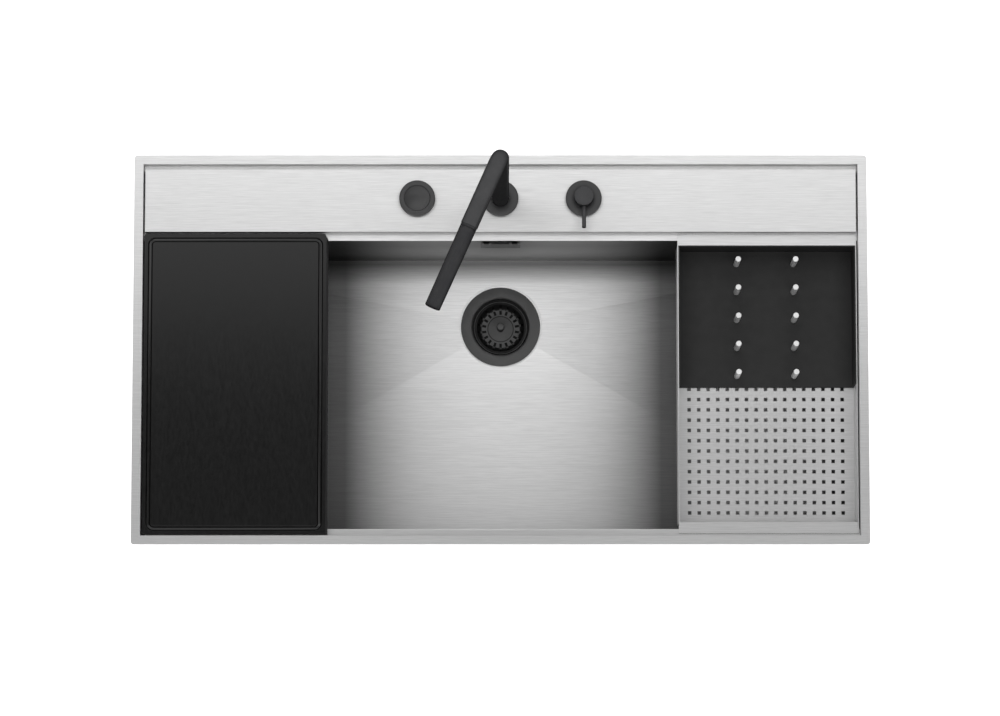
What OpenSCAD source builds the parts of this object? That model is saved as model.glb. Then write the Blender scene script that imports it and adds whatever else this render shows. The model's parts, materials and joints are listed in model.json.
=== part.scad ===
// Workstation kitchen sink with tap, side mixer, waste control and sliding accessories.
// Millimetres. The origin is the centre of the worktop cut-out, in the plane of the worktop's top.
// +X to the right, +Y to the back (tap side), +Z up.

/* [Rim and seal] */
// Length of the rim, left to right
rim_w = 960; // [900:1:1100]
// Depth of the rim, front to back
rim_d = 512; // [500:1:560]
// Width of the flat rim band
rim_band = 12; // [11:0.5:16]
// Radius of the rim's outer corners
rim_r = 4; // [2:0.5:8]
// Thickness of the rim sheet
rim_t = 1.5; // [1:0.1:2]
// Thickness of the seal under the rim
gasket_t = 1; // [0.8:0.1:2]
// Width of the seal
gasket_w = 8; // [5:0.5:8.5]

/* [Bowl] */
// Thickness of the bowl and ledge sheet
sheet_t = 1.5; // [1:0.1:2]
// Rim top down to the accessory ledges
ledge_drop = 13.5; // [12:0.5:18]
// Width of the front ledge
front_ledge = 9.3; // [8:0.1:12]
// Width of the back ledge, which the tap deck covers
back_ledge = 99.5; // [95:0.1:105]
// Rim top down to the floor at the walls
bowl_depth = 196; // [170:1:230]
// Fall of the floor from the walls to the drain
floor_fall = 7; // [4:0.5:10]
// Distance from the front wall at which the front creases meet the side walls
crease_inset = 20; // [10:1:40]

/* [Tap deck] */
// Gap between the deck and the rim at each side
deck_side_gap = 2.5; // [1:0.5:5]
// Gap between the deck and the rim at the back
deck_back_gap = 7.2; // [4:0.1:10]
// Depth of the deck, front to back
deck_d = 82.4; // [70:0.1:84]
// Thickness of the deck sheet
deck_t = 1.5; // [1:0.1:2]
// Distance between neighbouring tap holes
tap_pitch = 109; // [90:1:130]
// Deck front edge back to the line of the tap holes
tap_inset = 43.6; // [36:0.1:45]
// Radius of the tap holes
hole_r = 17.5; // [17:0.1:18.5]

/* [Sound pads] */
// Thickness of the sound pads
pad_t = 2; // [1:0.5:4]
// Length of a floor pad
floor_pad_w = 300; // [150:5:330]
// Depth of the front floor pads
floor_pad_d = 180; // [80:5:190]
// Height of the wall pads
wall_pad_h = 90; // [40:5:120]

/* [Clips] */
// Distance of the outer clips from the sink's centre lines
clip_reach = 320; // [200:5:400]
// Distance of the side clips from the sink's middle
clip_side_reach = 150; // [80:5:190]
// Thickness of the worktop that the clips grip
worktop_t = 30; // [20:1:40]
// Width of a clip
clip_w = 16; // [12:1:24]
// Thickness of the rail and clip sheet
clip_t = 0.9; // [0.7:0.1:1]
// Radius of the clip screws, M4
clip_screw_r = 2; // [1.5:0.1:2.3]

/* [Overflow] */
// Width of the overflow cover
ovf_w = 52; // [44:1:70]
// Height of the overflow cover
ovf_h = 28; // [24:1:36]
// Rim top down to the cover's centre
ovf_drop = 38; // [36:1:60]
// Thickness of the cover plate
ovf_plate_t = 1.2; // [0.8:0.1:1.5]
// Water gap behind the cover plate
ovf_gap = 2.8; // [2:0.1:3]
// Radius of the overflow screws
ovf_screw_r = 2; // [1.5:0.1:2.5]
// Bore radius of the overflow hose
hose_bore_r = 9; // [8:0.5:9.5]
// Wall of the overflow hose with its ribs
hose_wall = 3; // [2:0.5:3]
// Distance between the ribs of the hose
rib_pitch = 5; // [4:0.5:8]

/* [Drain] */
// Drain centre in front of the back wall
drain_inset = 89.5; // [80:0.5:120]
// Radius of the drain flange
flange_r = 53.5; // [50:0.5:57]
// Thickness of the drain flange
flange_t = 2.3; // [1.5:0.1:3]
// Inner radius of the drain cup
cup_r = 38.5; // [37.5:0.1:40]
// Flange top down to the step that carries the basket
cup_step = 15; // [12:0.5:18]
// Flange top down to the cup's bottom
cup_depth = 31; // [30:0.5:36]
// Wall of the drain cup
cup_t = 1.2; // [1:0.1:1.5]
// Radius of the outlet thread, G 1 1/2
outlet_r = 23.9; // [20:0.1:25]
// Length of the outlet thread
outlet_h = 26; // [18:1:40]
// Wall of the plastic waste body
body_t = 3; // [2:0.5:3.5]
// Thickness of the drain's rubber seals
seal_t = 1; // [0.5:0.1:2]

/* [Strainer basket] */
// Radius of the basket's rim
basket_r = 36; // [35.5:0.1:37]
// Radius of the basket's flat bottom
basket_floor_r = 27; // [25:0.5:28]
// Radius of the basket's middle disc
basket_disc_r = 17.5; // [15:0.5:18.5]
// Depth of the basket
basket_h = 12; // [10:0.5:12.5]
// Thickness of the basket sheet
basket_t = 1.2; // [0.8:0.1:1.5]
// Number of slots round the basket
slots = 18; // [12:1:24]
// Width of a slot
slot_w = 3.2; // [1.5:0.1:3.4]
// Radius of the basket's knob
knob_r = 5.2; // [4:0.1:7]
// Height of the knob over the basket's floor
knob_h = 28; // [20:1:32]

/* [Waste lift] */
// Travel of the control button
button_travel = 3; // [2:0.5:3.2]
// Lift of the basket when the button is pressed
valve_lift = 8; // [5:0.5:8.5]
// Radius of the lift pin
pin_r = 2.5; // [2:0.1:3]
// Rocker pivot to lift pin
rocker_len = 22; // [20:0.5:24]

/* [Tap] */
// Radius of the three round bases on the deck
base_r = 23.5; // [22:0.5:26]
// Height of the round bases with their seals
base_h = 8; // [7:0.5:10]
// Radius of the threaded shanks, M32
shank_r = 16; // [15:0.1:16.5]
// Radius of the tap tube
tube_r = 11; // [10:0.1:11.5]
// Wall of the tap tube
tube_t = 1.5; // [1:0.1:2]
// Deck top to the axis of the spout
spout_h = 330; // [250:1:400]
// Bend radius of the elbow's centre line
elbow_r = 14; // [12:0.5:40]
// Column axis to the spout's docking ring
tube_reach = 94; // [80:1:140]
// Column axis to the tip of the spray
reach = 205.7; // [190:0.1:260]
// Turn of the spout to the left of straight ahead
spout_turn = 24; // [-60:1:60]
// Radius of the spray at the docking ring
spray_r = 10.4; // [9.8:0.1:10.8]
// Radius of the spray at its tip
spray_tip_r = 9.9; // [9:0.1:10.2]
// Radius of the spray outlet
outlet_face_r = 7.5; // [6:0.1:8]

/* [Mixer] */
// Radius of the mixer head
head_r = 12.5; // [11:0.1:15]
// Height of the head's top over the base
head_top = 19.5; // [17:0.5:24]
// Gap between the base and the head
head_gap = 4.8; // [4.6:0.1:6]
// Radius of the lever rod
lever_r = 2.6; // [2:0.1:3]
// Mixer axis to the tip of the lever
lever_reach = 42; // [35:1:60]
// Rise of the lever from level
lever_rise = 15; // [5:1:25]
// Radius of the water ports, M10 x 1
port_r = 4.5; // [4:0.1:4.8]
// Depth of the water ports
port_h = 16; // [10:1:20]

/* [Cutting board] */
// Width of the board
board_w = 241; // [200:1:280]
// Gap between the board and the left rim wall
board_side_gap = 2; // [1:0.5:5]
// Gap between the board and the front rim wall
board_front_gap = 1.5; // [1:0.5:4]
// Gap between the board and the tap deck
board_back_gap = 2.6; // [1:0.1:6]
// Thickness of the board
board_t = 12; // [10:0.5:15]
// Bevel along the board's right edge
board_bevel = 2.6; // [1:0.1:4]
// Distance of the juice groove from the edge
groove_in = 4.6; // [4:0.1:10]
// Width of the juice groove
groove_w = 6.2; // [4:0.1:9]
// Depth of the juice groove
groove_t = 2.5; // [1:0.1:4]

/* [Perforated tray] */
// Width of the tray
tray_w = 234.5; // [200:0.5:260]
// Gap between the tray and the right rim wall
tray_side_gap = 1.5; // [1:0.5:4]
// Gap between the tray's back flange and the tap deck
tray_back_gap = 1.6; // [1:0.1:5]
// Gap between the tray's front flange and the rim wall
tray_front_gap = 3.6; // [1:0.1:5]
// Width of the tray's flanges
tray_flange = 14.7; // [14:0.1:20]
// Depth of the tray
tray_h = 50; // [40:1:70]
// Thickness of the tray sheet
tray_t = 1.2; // [1:0.1:1.5]
// Side of a square hole
perf_side = 4.7; // [3:0.1:6]
// Hole pitch, left to right
perf_pitch_x = 12.6; // [10:0.1:16]
// Hole pitch, front to back
perf_pitch_y = 13.62; // [10:0.01:16]
// Least distance from the tray's side walls to the holes' middles
perf_side_margin = 14; // [10:1:24]
// Front wall of the tray to the first row
perf_front = 16; // [12:1:24]

/* [Peg insert] */
// Length of the insert, front to back
insert_d = 182.3; // [180:0.1:200]
// Thickness of the insert sheet
insert_t = 1.5; // [1:0.1:2]
// Radius of a peg
peg_r = 3.7; // [3:0.1:5]
// Height of a peg
peg_h = 50; // [30:1:60]
// Distance between the two rows of pegs
peg_pitch_x = 75.2; // [60:0.1:90]
// Distance between pegs in a row
peg_pitch_y = 37.2; // [30:0.1:38]
// Pegs in each row
peg_rows = 5; // [3:1:5]
// Back wall of the insert to the first peg
peg_back = 18; // [10:1:25]

/* [Hidden] */
$fn = 96;

// Clearances: fit is a running fit, glide a sliding seat, loose what only has to stay clear
fit = 0.05;
glide = 0.2;
loose = 0.3;
// Extra length that lets a cut run out of the solid
over = 1;

// Levels
rim_top = gasket_t + rim_t;
ledge_z = rim_top - ledge_drop;
shelf_low = ledge_z - sheet_t;
deck_top = rim_top;
floor_z = rim_top - bowl_depth;
drain_z = floor_z - floor_fall;

// Plan of the sink
inner_x = rim_w / 2 - rim_band;
inner_y = rim_d / 2 - rim_band;
wall_x = inner_x + sheet_t;
wall_y = inner_y + sheet_t;
bowl_front = -inner_y + front_ledge;
bowl_back = inner_y - back_ledge;
deck_back = inner_y - deck_back_gap;
deck_front = deck_back - deck_d;
tap_y = deck_front + tap_inset;
tap_xs = [-tap_pitch, 0, tap_pitch];
drain_y = bowl_back - drain_inset;

// Colours as the eye takes them
steel = "#c9c9c9";
dark_steel = "#8d9094";
black = "#343434";
board_black = "#26272a";
rubber = "#1d1d1d";
plastic = "#dcdcd8";

module box(x0, x1, y0, y1, z0, z1) {
    translate([x0, y0, z0])
        cube([x1 - x0, y1 - y0, z1 - z0]);
}

module tube(r_out, r_in, z0, z1) {
    translate([0, 0, z0])
        difference() {
            cylinder(r = r_out, h = z1 - z0);
            translate([0, 0, -over])
                cylinder(r = r_in, h = z1 - z0 + 2 * over);
        }
}

module rod(r, z0, z1) {
    translate([0, 0, z0])
        cylinder(r = r, h = z1 - z0);
}

// A rod along X
module rod_x(r, x0, x1) {
    translate([x0, 0, 0])
        rotate([0, 90, 0])
            cylinder(r = r, h = x1 - x0);
}

// A rod along Y
module rod_y(r, y0, y1) {
    translate([0, y0, 0])
        rotate([-90, 0, 0])
            cylinder(r = r, h = y1 - y0);
}

// A flat rectangle with round corners, lower left corner first
module round_rect(x0, x1, y0, y1, r) {
    translate([x0 + r, y0])
        square([x1 - x0 - 2 * r, y1 - y0]);
    translate([x0, y0 + r])
        square([x1 - x0, y1 - y0 - 2 * r]);
    for (x = [x0 + r, x1 - r], y = [y0 + r, y1 - r])
        translate([x, y])
            circle(r = r);
}

module frame_2d(x_out, y_out, x_in, y_in) {
    difference() {
        square([2 * x_out, 2 * y_out], center = true);
        square([2 * x_in, 2 * y_in], center = true);
    }
}

/* The floor: four planes that fall from the walls to the drain */

crease_y = bowl_front + crease_inset;
front_rise = floor_fall * (drain_y - bowl_front) / (drain_y - crease_y);
floor_points = [
    [-inner_x, bowl_back, floor_z],
    [inner_x, bowl_back, floor_z],
    [inner_x, crease_y, floor_z],
    [inner_x, bowl_front, drain_z + front_rise],
    [-inner_x, bowl_front, drain_z + front_rise],
    [-inner_x, crease_y, floor_z],
    [0, drain_y, drain_z]
];
floor_facets = [[0, 1, 6], [1, 2, 6], [2, 3, 4, 5, 6], [5, 0, 6]];
floor_edges = [[0, 1], [1, 2], [2, 3], [3, 4], [4, 5], [5, 0]];

function backwards(a) = [for (i = [len(a) - 1:-1:0]) a[i]];
function lower(points, drop) = [for (p = points) [p[0], p[1], p[2] - drop]];
function level(points, z) = [for (p = points) [p[0], p[1], z]];

// A slab that follows the floor, from drop below its surface, thick mm down
module floor_slab(drop, thick) {
    n = len(floor_points);
    polyhedron(
        points = concat(lower(floor_points, drop), lower(floor_points, drop + thick)),
        faces = concat(
            floor_facets,
            [for (f = floor_facets) [for (i = backwards(f)) i + n]],
            [for (e = floor_edges) [e[0] + n, e[1] + n, e[1], e[0]]]
        )
    );
}

// All that lies over the floor, up to the ledges
module above_floor() {
    n = len(floor_points);
    ring = [for (i = [0:n - 2]) floor_points[i]];
    polyhedron(
        points = concat(floor_points, level(ring, shelf_low)),
        faces = concat(
            [for (f = floor_facets) backwards(f)],
            [[for (i = [0:n - 2]) i + n]],
            [for (e = floor_edges) [e[0], e[1], e[1] + n, e[0] + n]]
        )
    );
}

/* Sink body */

seat_r = flange_r + 2.5;
seat_z = drain_z - 1.5;
seat_low = seat_z - sheet_t;
drain_hole_r = cup_r + cup_t + 4;
ovf_z = rim_top - ovf_drop;
ovf_slot_w = 24;
ovf_slot_h = 12;
ovf_screw_x = ovf_w / 2 - 7.3;
ovf_front = bowl_back - ovf_gap - ovf_plate_t;

module sink_bowl() {
    wall_low = floor_z - sheet_t;
    color(steel)
        difference() {
            union() {
                box(-wall_x, wall_x, bowl_front - sheet_t, bowl_front, wall_low, shelf_low);
                box(-wall_x, wall_x, bowl_back, bowl_back + sheet_t, wall_low, shelf_low);
                box(-wall_x, -inner_x, bowl_front, bowl_back, wall_low, shelf_low);
                box(inner_x, wall_x, bowl_front, bowl_back, wall_low, shelf_low);
                floor_slab(0, sheet_t);
                difference() {
                    translate([0, drain_y, 0])
                        rod(seat_r + sheet_t, seat_low, floor_z);
                    above_floor();
                }
            }
            translate([0, drain_y, 0])
                rod(seat_r, seat_z, floor_z + over);
            translate([0, drain_y, 0])
                rod(drain_hole_r, seat_low - over, floor_z);
            box(-ovf_slot_w / 2, ovf_slot_w / 2, bowl_back - over, bowl_back + sheet_t + over,
                ovf_z - ovf_slot_h / 2, ovf_z + ovf_slot_h / 2);
            for (x = [-ovf_screw_x, ovf_screw_x])
                translate([x, 0, ovf_z])
                    rod_y(ovf_screw_r + loose, bowl_back - over, bowl_back + sheet_t + over);
        }
}

module rim_frame() {
    color(steel)
        difference() {
            union() {
                translate([0, 0, gasket_t])
                    linear_extrude(rim_t)
                        difference() {
                            round_rect(-rim_w / 2, rim_w / 2, -rim_d / 2, rim_d / 2, rim_r);
                            square([2 * inner_x, 2 * inner_y], center = true);
                        }
                translate([0, 0, shelf_low])
                    linear_extrude(gasket_t - shelf_low)
                        frame_2d(wall_x, wall_y, inner_x, inner_y);
                box(-inner_x, inner_x, -inner_y, bowl_front, shelf_low, ledge_z);
                box(-inner_x, inner_x, bowl_back, inner_y, shelf_low, ledge_z);
            }
            for (x = tap_xs)
                translate([x, tap_y, 0])
                    rod(hole_r, shelf_low - over, ledge_z + over);
        }
}

module rim_gasket() {
    edge = 1;
    color(rubber)
        linear_extrude(gasket_t)
            frame_2d(rim_w / 2 - edge, rim_d / 2 - edge,
                     rim_w / 2 - edge - gasket_w, rim_d / 2 - edge - gasket_w);
}

module tap_deck() {
    x_out = inner_x - deck_side_gap;
    color(steel)
        difference() {
            box(-x_out, x_out, deck_front, deck_back, ledge_z, deck_top);
            box(-x_out + deck_t, x_out - deck_t, deck_front + deck_t, deck_back - deck_t,
                ledge_z - over, deck_top - deck_t);
            for (x = tap_xs)
                translate([x, tap_y, 0])
                    rod(hole_r, ledge_z, deck_top + over);
        }
}

// Bitumen pads on the underside of the floor and on the outer walls
module sound_pads() {
    edge_gap = 24;
    wall_pad_z = floor_z + 20;
    front_pad_y = bowl_front + edge_gap;
    pad_x = seat_r + edge_gap;
    color("#4a4c4f") {
        for (side = [-1, 1])
            intersection() {
                floor_slab(sheet_t, pad_t);
                translate([side * (pad_x + floor_pad_w / 2), front_pad_y + floor_pad_d / 2, floor_z])
                    cube([floor_pad_w, floor_pad_d, 4 * (floor_fall + pad_t)], center = true);
            }
        for (side = [-1, 1])
            translate([side * (pad_x + floor_pad_w / 2), 0, 0])
                box(-floor_pad_w / 2, floor_pad_w / 2, bowl_front - sheet_t - pad_t, bowl_front - sheet_t,
                    wall_pad_z, wall_pad_z + wall_pad_h);
        for (side = [-1, 1])
            translate([side * (pad_x + floor_pad_w / 2), 0, 0])
                box(-floor_pad_w / 2, floor_pad_w / 2, bowl_back + sheet_t, bowl_back + sheet_t + pad_t,
                    wall_pad_z, wall_pad_z + wall_pad_h);
    }
}

/* Clips: each hangs in a rail on the rim's outer wall and is jacked against the worktop */

rail_h = 7;
lip_h = 4;
rail_out = 3;
foot_t = 2;
foot_drop = 20;
foot_in = 0.5;
rail_rise = 0.5;
rail_low = shelf_low + rail_rise;
rail_top = rail_low + rail_h;
lip_top = rail_low + lip_h;
clip_foot = -worktop_t - foot_drop;
// Distances from the rim's outer wall, outwards
hook_u = clip_t + glide;
plate_u = rail_out + glide;
foot_u = rim_band - sheet_t - foot_in;
clip_screw_u = (plate_u + clip_t + foot_u) / 2;
clip_head_r = clip_screw_r + 0.8;
clip_head_h = 3;
// Each clip's wall point and the turn that faces it outwards: three at the back, two at each side
back_turn = 90;
left_turn = 180;
clip_places = concat(
    [for (x = [-clip_reach, 0, clip_reach]) [x, wall_y, back_turn]],
    [for (y = [-clip_side_reach, clip_side_reach]) [wall_x, y, 0]],
    [for (y = [-clip_side_reach, clip_side_reach]) [-wall_x, y, left_turn]]
);

module at_clips() {
    for (p = clip_places)
        translate([p[0], p[1], 0])
            rotate([0, 0, p[2]])
                children();
}

// A rail's section: web on the wall, floor, and a lip turned up
module rail(length) {
    rotate([90, 0, 0])
        linear_extrude(length, center = true)
            polygon([
                [0, rail_low],
                [rail_out, rail_low],
                [rail_out, lip_top],
                [rail_out - clip_t, lip_top],
                [rail_out - clip_t, rail_low + clip_t],
                [clip_t, rail_low + clip_t],
                [clip_t, rail_top],
                [0, rail_top]
            ]);
}

module clip_rails() {
    run_out = 1.5 * clip_w;
    long = 2 * (clip_reach + run_out);
    short = 2 * (clip_side_reach + run_out);
    color(dark_steel)
        for (turn = [0, 180])
            rotate([0, 0, turn]) {
                translate([wall_x, 0, 0])
                    rail(short);
                translate([0, wall_y, 0])
                    rotate([0, 0, 90])
                        rail(long);
            }
}

// A clip's section: hook over the rail's lip, plate down, and foot for the screw
module mounting_clips() {
    hook_z = lip_top + glide;
    hook_drop = 2;
    color(steel)
        at_clips()
            difference() {
                rotate([90, 0, 0])
                    linear_extrude(clip_w, center = true)
                        polygon([
                            [hook_u, hook_z - hook_drop],
                            [hook_u + clip_t - glide, hook_z - hook_drop],
                            [hook_u + clip_t - glide, hook_z],
                            [plate_u, hook_z],
                            [plate_u, clip_foot],
                            [foot_u, clip_foot],
                            [foot_u, clip_foot + foot_t],
                            [plate_u + clip_t, clip_foot + foot_t],
                            [plate_u + clip_t, hook_z + clip_t],
                            [hook_u, hook_z + clip_t]
                        ]);
                translate([clip_screw_u, 0, 0])
                    rod(clip_screw_r + fit, clip_foot - over, clip_foot + foot_t + over);
            }
}

// Screws that press against the worktop from below, with their heads under the feet
module clip_screws() {
    screw_out = 2;
    tip_gap = 1;
    color(dark_steel)
        at_clips()
            translate([clip_screw_u, 0, 0]) {
                rod(clip_screw_r, clip_foot - screw_out, -worktop_t - tip_gap);
                rod(clip_head_r, clip_foot - screw_out - clip_head_h, clip_foot - screw_out);
            }
}

/* Overflow */

hose_y = bowl_back + sheet_t + hose_bore_r + hose_wall + 2;
ovf_seal_t = 0.8;
house_front = bowl_back + sheet_t + ovf_seal_t;
house_back = hose_y + hose_bore_r;
house_x = ovf_w / 2 + 2;
house_low = ovf_z - ovf_h / 2 - 4;
house_high = ovf_z + ovf_h / 2;
house_t = 2;
screw_in = 7;
csk_h = 1;
hose_r = hose_bore_r + hose_wall;
hose_high = house_low - 4;
spigot_r = hose_bore_r - fit;
spigot_t = 2;
spigot_h = 14;
elbow_bend = 15;
side_z = drain_z - 27;
elbow_top = side_z + elbow_bend;
elbow_shoulder = 3;
hose_low = elbow_top + elbow_shoulder;

module overflow_cover() {
    color(black)
        difference() {
            box(-ovf_w / 2, ovf_w / 2, ovf_front, ovf_front + ovf_plate_t,
                ovf_z - ovf_h / 2, ovf_z + ovf_h / 2);
            for (x = [-ovf_screw_x, ovf_screw_x])
                translate([x, 0, ovf_z])
                    rod_y(ovf_screw_r + fit, ovf_front - over, ovf_front + ovf_plate_t + over);
            for (x = [-ovf_screw_x, ovf_screw_x])
                translate([x, ovf_front, ovf_z])
                    rotate([-90, 0, 0])
                        cylinder(r1 = ovf_screw_r + csk_h, r2 = ovf_screw_r, h = csk_h);
        }
}

// Countersunk screws with the collars that hold the plate off the wall
module overflow_screws() {
    collar_w = 1.5;
    color(dark_steel)
        for (x = [-ovf_screw_x, ovf_screw_x])
            translate([x, 0, ovf_z]) {
                rod_y(ovf_screw_r, ovf_front + csk_h / 2, house_front + screw_in);
                rod_y(ovf_screw_r + collar_w, ovf_front + ovf_plate_t, bowl_back);
                translate([0, ovf_front, 0])
                    rotate([-90, 0, 0])
                        cylinder(r1 = ovf_screw_r + csk_h - fit, r2 = ovf_screw_r - fit, h = csk_h);
            }
}

module overflow_gasket() {
    color(rubber)
        difference() {
            box(-house_x, house_x, bowl_back + sheet_t, house_front, house_low, house_high);
            box(-ovf_slot_w / 2, ovf_slot_w / 2, bowl_back, house_front + over,
                ovf_z - ovf_slot_h / 2, ovf_z + ovf_slot_h / 2);
            for (x = [-ovf_screw_x, ovf_screw_x])
                translate([x, 0, ovf_z])
                    rod_y(ovf_screw_r + loose, bowl_back, house_front + over);
        }
}

module overflow_housing() {
    color(plastic)
        difference() {
            union() {
                box(-house_x, house_x, house_front, house_back, house_low, house_high);
                translate([0, hose_y, 0])
                    rod(spigot_r, hose_high - spigot_h, house_low);
            }
            box(-ovf_slot_w / 2 + house_t, ovf_slot_w / 2 - house_t, house_front - over,
                house_back - house_t, house_low + house_t, ovf_z + ovf_slot_h / 2);
            translate([0, hose_y, 0])
                rod(spigot_r - spigot_t, hose_high - spigot_h - over, house_low + house_t + over);
            for (x = [-ovf_screw_x, ovf_screw_x])
                translate([x, 0, ovf_z])
                    rod_y(ovf_screw_r + fit, house_front - over, house_front + screw_in + 1);
        }
}

// Ribbed hose with a plain cuff at each end
module overflow_hose() {
    cuff = 11;
    run = hose_high - hose_low - 2 * cuff;
    ribs = floor(run / rib_pitch);
    step = run / ribs;
    valley = hose_r - hose_wall / 2;
    outline = concat(
        [[hose_bore_r, hose_low], [hose_r, hose_low], [hose_r, hose_low + cuff]],
        [for (i = [0:ribs - 1], k = [0:3])
            let (z = hose_low + cuff + i * step)
                [k == 1 || k == 2 ? hose_r : valley, z + step * (0.15 + k * 0.2)]],
        [[hose_r, hose_high - cuff], [hose_r, hose_high], [hose_bore_r, hose_high]]
    );
    color("#b9bab8")
        translate([0, hose_y, 0])
            rotate_extrude()
                polygon(outline);
}

module overflow_elbow() {
    socket_r = body_t + hose_bore_r + fit;
    socket_h = 12;
    socket_t = 1.5;
    start = drain_y + body_r + body_t + side_len + loose - socket_h;
    bore = spigot_r - spigot_t;
    tube_out = spigot_r + spigot_t;
    color(plastic)
        difference() {
            union() {
                translate([0, 0, side_z]) {
                    rod_y(socket_r + socket_t, start, start + socket_h + socket_t);
                    rod_y(tube_out, start + socket_h, hose_y - elbow_bend);
                }
                translate([0, hose_y, 0]) {
                    rod(tube_out, elbow_top, hose_low);
                    rod(spigot_r, hose_low, hose_low + spigot_h);
                }
                translate([0, hose_y - elbow_bend, elbow_top])
                    rotate([0, -90, 0])
                        rotate([0, 0, 90])
                            rotate_extrude(angle = 90)
                                translate([elbow_bend, 0])
                                    circle(r = tube_out);
            }
            translate([0, 0, side_z]) {
                rod_y(socket_r, start - over, start + socket_h);
                rod_y(bore, start, hose_y - elbow_bend);
            }
            translate([0, hose_y, 0])
                rod(bore, elbow_top, hose_low + spigot_h + over);
            translate([0, hose_y - elbow_bend, elbow_top])
                rotate([0, -90, 0])
                    rotate([0, 0, 90])
                        rotate_extrude(angle = 90)
                            translate([elbow_bend, 0])
                                circle(r = bore);
        }
}

module hose_clips() {
    band_h = 6;
    band_t = 0.8;
    inset = 2;
    color(dark_steel)
        translate([0, hose_y, 0])
            for (z = [hose_high - band_h - inset, hose_low + inset])
                tube(hose_r + fit + band_t, hose_r + fit, z, z + band_h);
}

/* Drain */

flange_top = seat_z + seal_t + flange_t;
step_z = flange_top - cup_step;
step_r = basket_r - 1.5;
basket_rim_h = 2;
basket_floor_z = step_z - basket_h;
cup_floor_z = flange_top - cup_depth;
cup_low = cup_floor_z - cup_t;
window_r = basket_disc_r - 2;
hub_r = 9;
hub_h = 15;
screw_r = 6;
hub_low = cup_low - hub_h;
rocker_r = 1.5;
rocker_eye_r = 3;
rocker_w = 8;
rocker_z = hub_low - valve_lift - 2 * rocker_r - 2 * (loose + fit);
body_r = drain_hole_r - cup_t - 2.2;
body_rim_r = seat_r - 2;
body_flange_z = seat_low - 2 * seal_t;
body_low = rocker_z - rocker_eye_r - 4;
cone_h = 10;
outlet_low = body_low - cone_h - outlet_h;
side_len = 16;
// How far the seals stay inside what they seal
seal_in = 1;
// Cable gland: stub on the body, outer part of the gland, its neck and the cable's way
gland_stub = 3;
gland_r = 5;
gland_neck_r = 2.6;
gland_bore = 1.6;
gland_h = 12;

module at_drain() {
    translate([0, drain_y, 0])
        children();
}

module drain_flange() {
    plate_low = flange_top - flange_t;
    edge = 0.8;
    throat_bevel = 2.5;
    spoke_w = 4;
    color(black)
        at_drain()
            difference() {
                rotate_extrude()
                    polygon([
                        [0, cup_low],
                        [step_r + cup_t, cup_low],
                        [step_r + cup_t, step_z - cup_t],
                        [cup_r + cup_t, step_z - cup_t],
                        [cup_r + cup_t, plate_low],
                        [flange_r, plate_low],
                        [flange_r, flange_top - edge],
                        [flange_r - edge, flange_top],
                        [cup_r + throat_bevel, flange_top],
                        [cup_r + edge, flange_top - edge],
                        [cup_r, flange_top - throat_bevel],
                        [cup_r, step_z],
                        [step_r, step_z],
                        [step_r, cup_floor_z],
                        [0, cup_floor_z]
                    ]);
                rod(screw_r + loose, cup_low - over, cup_floor_z + over);
                difference() {
                    tube(window_r, hub_r + 1, cup_low - over, cup_floor_z + over);
                    for (a = [45, 135])
                        rotate([0, 0, a])
                            translate([0, 0, cup_floor_z])
                                cube([3 * window_r, spoke_w, cup_depth], center = true);
                }
            }
}

// One ring over the sink's sheet and one under it
module drain_seals() {
    color(rubber)
        at_drain() {
            tube(flange_r - seal_in, drain_hole_r + seal_in / 2, seat_z, seat_z + seal_t);
            tube(body_rim_r, drain_hole_r + seal_in / 2, body_flange_z, seat_low);
        }
}

module drain_body() {
    lug_in = rocker_w / 2 + loose;
    lug_t = 3;
    // How far the lugs and stubs run into the wall
    root = 1;
    color(plastic)
        at_drain()
            difference() {
                union() {
                    rotate_extrude()
                        polygon([
                            [body_r, body_flange_z],
                            [body_rim_r, body_flange_z],
                            [body_rim_r, body_flange_z - body_t],
                            [body_r + body_t, body_flange_z - body_t],
                            [body_r + body_t, body_low],
                            [body_r, body_low]
                        ]);
                    for (x = [-lug_in - lug_t, lug_in])
                        box(x, x + lug_t, rocker_len - rocker_eye_r, body_r + root,
                            rocker_z - rocker_eye_r, rocker_z + rocker_eye_r);
                    translate([0, 0, side_z])
                        rod_y(hose_bore_r + body_t, body_r + root, body_r + body_t + side_len);
                    translate([0, 0, rocker_z])
                        rod_y(gland_r, body_r + root, body_r + body_t + gland_stub);
                }
                translate([0, 0, side_z])
                    rod_y(hose_bore_r, body_r - 2 * body_t, body_r + body_t + side_len + over);
                translate([0, 0, rocker_z])
                    rod_y(gland_neck_r, body_r - over, body_r + body_t + gland_stub + over);
                translate([0, rocker_len, rocker_z])
                    rod_x(rocker_r + fit, -lug_in - lug_t - over, lug_in + lug_t + over);
            }
}

// Cone and outlet thread, welded under the waste body
module drain_outlet() {
    shoulder = 1;
    neck = body_low - cone_h;
    color(plastic)
        at_drain()
            rotate_extrude()
                polygon([
                    [body_r, body_low],
                    [body_r + body_t, body_low],
                    [outlet_r + shoulder, neck],
                    [outlet_r, neck],
                    [outlet_r, outlet_low],
                    [outlet_r - body_t, outlet_low],
                    [outlet_r - body_t, neck]
                ]);
}

// Hub for the screw, carried by three ribs that end on the waste body's wall
module drain_bridge() {
    rib_w = 4;
    rib_h = 8;
    color(plastic)
        at_drain()
            difference() {
                union() {
                    rod(hub_r, hub_low, cup_low);
                    intersection() {
                        rod(body_r, hub_low, hub_low + rib_h);
                        for (a = [0, 120, 240])
                            rotate([0, 0, a])
                                box(-rib_w / 2, rib_w / 2, 0, body_r + over, hub_low, hub_low + rib_h);
                    }
                }
                rod(screw_r + fit, hub_low - over, cup_low + over);
            }
}

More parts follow.
